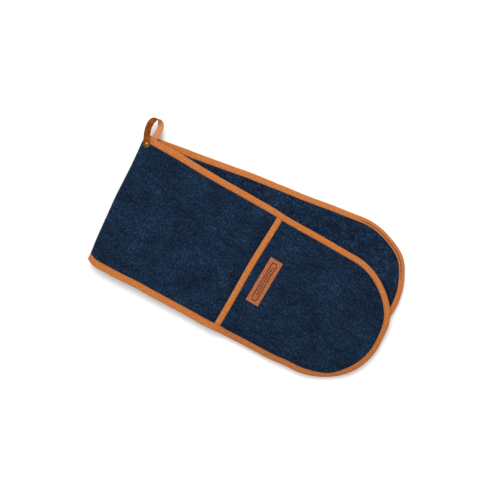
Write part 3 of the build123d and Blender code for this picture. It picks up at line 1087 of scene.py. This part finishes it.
def mixed(tree, share, first, second, how="MIX"):
    """Two colours mixed. The Mix node keeps its colour sockets at 6, 7 and 2."""
    made = add(tree, "Mix", data_type="RGBA", blend_type=how)
    given = ((made.inputs[0], share), (made.inputs[6], first), (made.inputs[7], second))
    for socket, value in given:
        if isinstance(value, bpy.types.NodeSocket):
            tree.links.new(value, socket)
        else:
            socket.default_value = value if isinstance(value, (int, float)) else (*value, 1)
    return made.outputs[2]


def grey(value):
    return (value, value, value)


def sums(tree, how, first, second=0.0, third=0.0):
    """A sum worked out over the surface."""
    made = add(tree, "Math", {0: first, 1: second, 2: third}, operation=how)
    return made.outputs[0]


def finish_off(tree, colour, roughness, height, relief, **uniform):
    """The shader, with a bump of so many millimetres, and numbers that are the same all over."""
    bump = add(tree, "Bump", {"Height": height, "Distance": relief * MM, "Strength": 1.0})
    shader = add(tree, "BsdfPrincipled", {"Base Color": colour, "Roughness": roughness,
                                          "Normal": bump.outputs["Normal"]})
    for key, value in uniform.items():
        shader.inputs[key.replace("_", " ")].default_value = value
    output = add(tree, "OutputMaterial")
    tree.links.new(shader.outputs[0], output.inputs[0])


def wear(finish, *pieces):
    """Gives the finish to each piece."""
    for piece in pieces:
        piece.data.materials.clear()
        piece.data.materials.append(finish)


def srgb(r, g, b):
    """A colour as painters give it, 0 to 255, in the linear values that shaders use."""
    return tuple(((c / 255 + 0.055) / 1.055) ** 2.4 if c > 10 else c / 255 / 12.92
                 for c in (r, g, b))


# %% [markdown]
# ### Denim
#
# Denim is a twill: blue warp threads cross over white weft threads in diagonal ribs, and uneven
# threads leave short pale streaks. The dark indigo has soft mottling at the size of a lentil.
# Four layers of noise give these, from the widest clouds down to single threads, each stretched
# along the thread that it stands for, and a slanting wave gives the ribs.

# %% Denim
def make_denim():
    finish, tree = new_finish("indigo_denim")
    where = place_in_cloth(tree)
    mottle = blotches(tree, where, 0.34, 5.0, 0.68)
    patch = blotches(tree, place_in_cloth(tree, (0.06, 0.13, 1)), 1.0, 3.0, 0.6)
    cloud = blotches(tree, where, 0.022, 2.0)
    warp = blotches(tree, place_in_cloth(tree, (0.13, 1.5, 1)), 1.0, 3.0, 0.7)
    weft = blotches(tree, place_in_cloth(tree, (1.5, 0.26, 1), 0, (9, 4, 2)), 1.0, 2.0, 0.7)
    twill_place = place_in_cloth(tree, (1, 1, 1), radians(63))
    twill = add(tree, "TexWave", {"Vector": twill_place, "Scale": 0.30, "Distortion": 1.2,
                                  "Detail": 2.0, "Detail Scale": 1.5}).outputs["Fac"]
    base = ramp(tree, mottle, (0.34, srgb(5, 17, 33)), (0.5, srgb(16, 34, 56)),
                (0.66, srgb(40, 60, 84)))
    patches = ramp(tree, patch, (0.34, (0.66, 0.66, 0.7)), (0.66, (1.3, 1.3, 1.26)))
    base = mixed(tree, 1.0, base, patches, "MULTIPLY")
    clouds = ramp(tree, cloud, (0.36, (0.74, 0.74, 0.76)), (0.64, (1.26, 1.26, 1.22)))
    base = mixed(tree, 1.0, base, clouds, "MULTIPLY")
    streaks = ramp(tree, warp, (0.54, grey(0)), (0.74, grey(0.46)))
    dark_streaks = ramp(tree, warp, (0.28, grey(0.6)), (0.44, grey(0)))
    specks = ramp(tree, weft, (0.58, grey(0)), (0.78, grey(0.35)))
    base = mixed(tree, streaks, base, srgb(48, 70, 94))
    base = mixed(tree, dark_streaks, base, srgb(6, 14, 27))
    base = mixed(tree, specks, base, srgb(56, 76, 98))
    base = mixed(tree, sums(tree, "MULTIPLY", twill, 0.3), base, srgb(6, 14, 28))
    dullness = sums(tree, "MULTIPLY_ADD", mottle, 0.16, 0.8)
    height = sums(tree, "ADD", sums(tree, "MULTIPLY", twill, 0.6), sums(tree, "MULTIPLY", warp, 0.9))
    height = sums(tree, "ADD", height, sums(tree, "MULTIPLY", mottle, 1.8))
    finish_off(tree, base, dullness, height, 0.5, Specular_IOR_Level=0.06)
    return finish


denim = make_denim()
wear(denim, *strips.values(), *pockets.values(), fold_denim)

# %% [markdown]
# ### Binding tape, thread and lining
#
# The tape is tan cotton with fine diagonal ribs that run across it, and the hollows between the ribs
# are given a painted shade. Its marks are the distance along the tape and the distance across it, so
# the ribs turn with it round the tip. The seam leaves a thin shaded line beside the tape's edge,
# painted at its distance across the tape. The thread is the same tan, twisted, and the lining is plain
# undyed cotton.

# %% Binding tape
def make_tape_finish():
    finish, tree = new_finish("tan_twill_tape")
    where = place_in_cloth(tree)
    slant = place_in_cloth(tree, (1, 1, 1), radians(35))
    ribs = add(tree, "TexWave", {"Vector": slant, "Scale": 0.185, "Distortion": 0.5,
                                 "Detail": 1.0, "Detail Scale": 2.0}).outputs["Fac"]
    mottle = blotches(tree, where, 0.6, 4.0, 0.65)
    fine = blotches(tree, place_in_cloth(tree, (0.14, 1.5, 1)), 1.0, 3.0, 0.65)
    base = ramp(tree, mottle, (0.34, srgb(164, 92, 38)), (0.5, srgb(196, 119, 60)),
                (0.66, srgb(216, 144, 88)))
    along_lines = ramp(tree, fine, (0.36, grey(0.75)), (0.56, grey(0)))
    base = mixed(tree, along_lines, base, srgb(150, 84, 36))
    # painted shade: the hollows between the ribs are darkened towards a deeper tan, as if shaded
    painted_rib_shade = sums(tree, "MULTIPLY", sums(tree, "SUBTRACT", 1.0, ribs), 0.5)
    base = mixed(tree, painted_rib_shade, base, srgb(134, 70, 26))
    across = mark_value(tree, "Y")
    from_seam = sums(tree, "ABSOLUTE", sums(tree, "SUBTRACT", across, 1.35))
    seam_shade = ramp(tree, from_seam, (0.25, grey(0.55)), (0.8, grey(0)))
    base = mixed(tree, seam_shade, base, srgb(120, 62, 22))
    height = sums(tree, "ADD", ribs, sums(tree, "MULTIPLY", fine, 0.6))
    finish_off(tree, base, 0.85, height, 0.26, Specular_IOR_Level=0.12)
    return finish


wear(make_tape_finish(), *edge_tapes.values(), *mouth_tapes.values(), *fold_tapes)

# %% Thread and lining
def make_thread_finish():
    finish, tree = new_finish("tan_thread")
    where = add(tree, "TexCoord").outputs["Object"]
    twist = add(tree, "TexWave", {"Vector": where, "Scale": 420.0, "Distortion": 1.0}).outputs["Fac"]
    spots = blotches(tree, where, 260.0, 3.0)
    base = ramp(tree, spots, (0.3, srgb(168, 98, 46)), (0.7, srgb(204, 134, 80)))
    finish_off(tree, base, 0.7, twist, 0.08, Specular_IOR_Level=0.2)
    return finish


def make_lining_finish():
    finish, tree = new_finish("cotton_lining")
    where = place_in_cloth(tree)
    weave = blotches(tree, place_in_cloth(tree, (2.4, 0.8, 1)), 1.0, 3.0)
    cross = blotches(tree, place_in_cloth(tree, (0.8, 2.4, 1)), 1.0, 3.0)
    both = sums(tree, "ADD", sums(tree, "MULTIPLY", weave, 0.5), sums(tree, "MULTIPLY", cross, 0.5))
    base = ramp(tree, both, (0.35, srgb(168, 156, 136)), (0.65, srgb(206, 196, 178)))
    stain = sums(tree, "MULTIPLY", blotches(tree, where, 0.05), 0.4)
    base = mixed(tree, stain, base, srgb(180, 168, 148))
    finish_off(tree, base, 0.85, both, 0.15, Sheen_Weight=0.1, Specular_IOR_Level=0.2)
    return finish


wear(make_thread_finish(), *seams, label_seam)
wear(make_lining_finish(), *linings.values())

# %% [markdown]
# ### Leather and brass
#
# The strap has two faces: the dyed grain side with fine pores, and the paler flesh side with a
# fibrous nap, and its cut edges show raw. The third mark says which face a point is on. The
# label's mark says how deep it is pressed, which burns it darker. The rivet is brass that has
# dulled in its hollows.

# %% Leather
def make_strap_leather():
    finish, tree = new_finish("strap_leather_two_sided")
    where = place_in_cloth(tree)
    pores = add(tree, "TexVoronoi", {"Vector": where, "Scale": 2.2}).outputs["Distance"]
    nap = blotches(tree, place_in_cloth(tree, (0.9, 2.2, 1)), 1.0, 4.0, 0.7)
    tone = blotches(tree, where, 0.22, 4.0)
    grain = ramp(tree, tone, (0.34, srgb(86, 40, 2)), (0.66, srgb(138, 70, 6)))
    flesh = ramp(tree, nap, (0.34, srgb(166, 106, 68)), (0.66, srgb(200, 136, 94)))
    on_flesh = ramp(tree, mark_value(tree, "Z"), (0.0, grey(1)), (0.02, grey(0)))
    base = mixed(tree, on_flesh, grain, flesh)
    height = sums(tree, "ADD", sums(tree, "MULTIPLY", pores, 0.8), sums(tree, "MULTIPLY", nap, 0.6))
    finish_off(tree, base, 0.7, height, 0.16, Specular_IOR_Level=0.1)
    return finish


def make_label_leather():
    finish, tree = new_finish("label_leather_pressed")
    where = place_in_cloth(tree, (1, 1, 0))
    pores = add(tree, "TexVoronoi", {"Vector": where, "Scale": 1.9}).outputs["Distance"]
    tone = blotches(tree, where, 0.3, 5.0, 0.6)
    tan = ramp(tree, tone, (0.34, srgb(132, 70, 34)), (0.66, srgb(170, 98, 56)))
    burnt = ramp(tree, tone, (0.34, srgb(30, 24, 18)), (0.66, srgb(58, 42, 30)))
    base = mixed(tree, mark_value(tree, "Z"), tan, burnt)
    finish_off(tree, base, 0.66, sums(tree, "ADD", pores, tone), 0.14, Specular_IOR_Level=0.2)
    return finish


wear(make_strap_leather(), leather_loop)
wear(make_label_leather(), label)

# %% Brass, on the rivet as it was measured
def make_brass():
    finish, tree = new_finish("aged_brass")
    where = add(tree, "TexCoord").outputs["Object"]
    dull = blotches(tree, where, 520.0, 4.0, 0.6)
    base = ramp(tree, dull, (0.35, srgb(62, 48, 24)), (0.58, srgb(122, 94, 50)),
                (0.72, srgb(168, 138, 84)))
    dullness = sums(tree, "MULTIPLY_ADD", dull, 0.35, 0.22)
    finish_off(tree, base, dullness, dull, 0.05, Metallic=1.0)
    return finish


brass = make_brass()
for node in ("rivet_cap", "rivet_base"):
    for held in frame["nodes"][node].material_slots:
        held.material = brass
print("finishes:", sorted(finish.name for finish in bpy.data.materials if finish.use_nodes))

# %% [markdown]
# ## Floor, light and camera
#
# The glove lies on a plain white table under a broad, even light, and is looked at from straight
# above through a long lens, turned so that the fold is on the left. One wide lamp high behind
# the loop leaves a soft shadow on the near side, a weak one opposite keeps that side readable,
# and the white surroundings do the rest. A long lens shows both tips at their true size.

# %% Floor and light
FLOOR_HALF = 12.0                    # wide enough that its far edge stays out of low views
FLOOR_LEVEL = -0.0004


def make_floor():
    mesh = bpy.data.meshes.new("table_top")
    corners = [(FLOOR_HALF * x, FLOOR_HALF * y, 0) for x, y in ((-1, -1), (1, -1), (1, 1), (-1, 1))]
    mesh.from_pydata(corners, [], [(0, 1, 2, 3)])
    made = bpy.data.objects.new("table_top", mesh)
    made.location.z = FLOOR_LEVEL
    bpy.context.scene.collection.objects.link(made)
    finish, tree = new_finish("white_table")
    shader = add(tree, "BsdfPrincipled", {"Base Color": (0.93, 0.93, 0.93, 1), "Roughness": 0.8})
    output = add(tree, "OutputMaterial")
    tree.links.new(shader.outputs[0], output.inputs[0])
    wear(finish, made)
    return made


def make_lamp(name, location, size, power, aim=(0, 0, 0)):
    light = bpy.data.lights.new(name, "AREA")
    light.size = size
    light.energy = power
    lamp = bpy.data.objects.new(name, light)
    lamp.location = location
    lamp.rotation_euler = (Vector(location) - Vector(aim)).to_track_quat("Z", "Y").to_euler()
    bpy.context.scene.collection.objects.link(lamp)
    return lamp


make_floor()
make_lamp("broad_lamp", (-1.0, 1.3, 2.0), 1.8, 56)
make_lamp("fill_lamp", (1.4, -1.0, 1.8), 1.8, 10)
world = bpy.data.worlds.new("studio")
world.use_nodes = True
world.node_tree.nodes["Background"].inputs[0].default_value = (1, 1, 1, 1)
world.node_tree.nodes["Background"].inputs[1].default_value = 0.75
bpy.context.scene.world = world
bpy.context.scene.view_settings.view_transform = "Standard"
print("lamps:", [lamp.name for lamp in bpy.data.lights])

# %% Camera
VIEW_TURN = radians(24.22)
VIEW_CENTRE = (-0.00952, 0.00686)
VIEW_HEIGHT = 1.796 + ORIGIN[2] * MM    # above the level where the halves meet
camera_data = bpy.data.cameras.new("overhead")
camera_data.lens = 90
camera_data.sensor_width = 36
camera_data.clip_end = 20
camera = bpy.data.objects.new("overhead", camera_data)
camera.location = (*VIEW_CENTRE, VIEW_HEIGHT)
camera.rotation_euler = (0, 0, VIEW_TURN)
bpy.context.scene.collection.objects.link(camera)
bpy.context.scene.camera = camera
print("camera stands", round(VIEW_HEIGHT, 3), "m up")
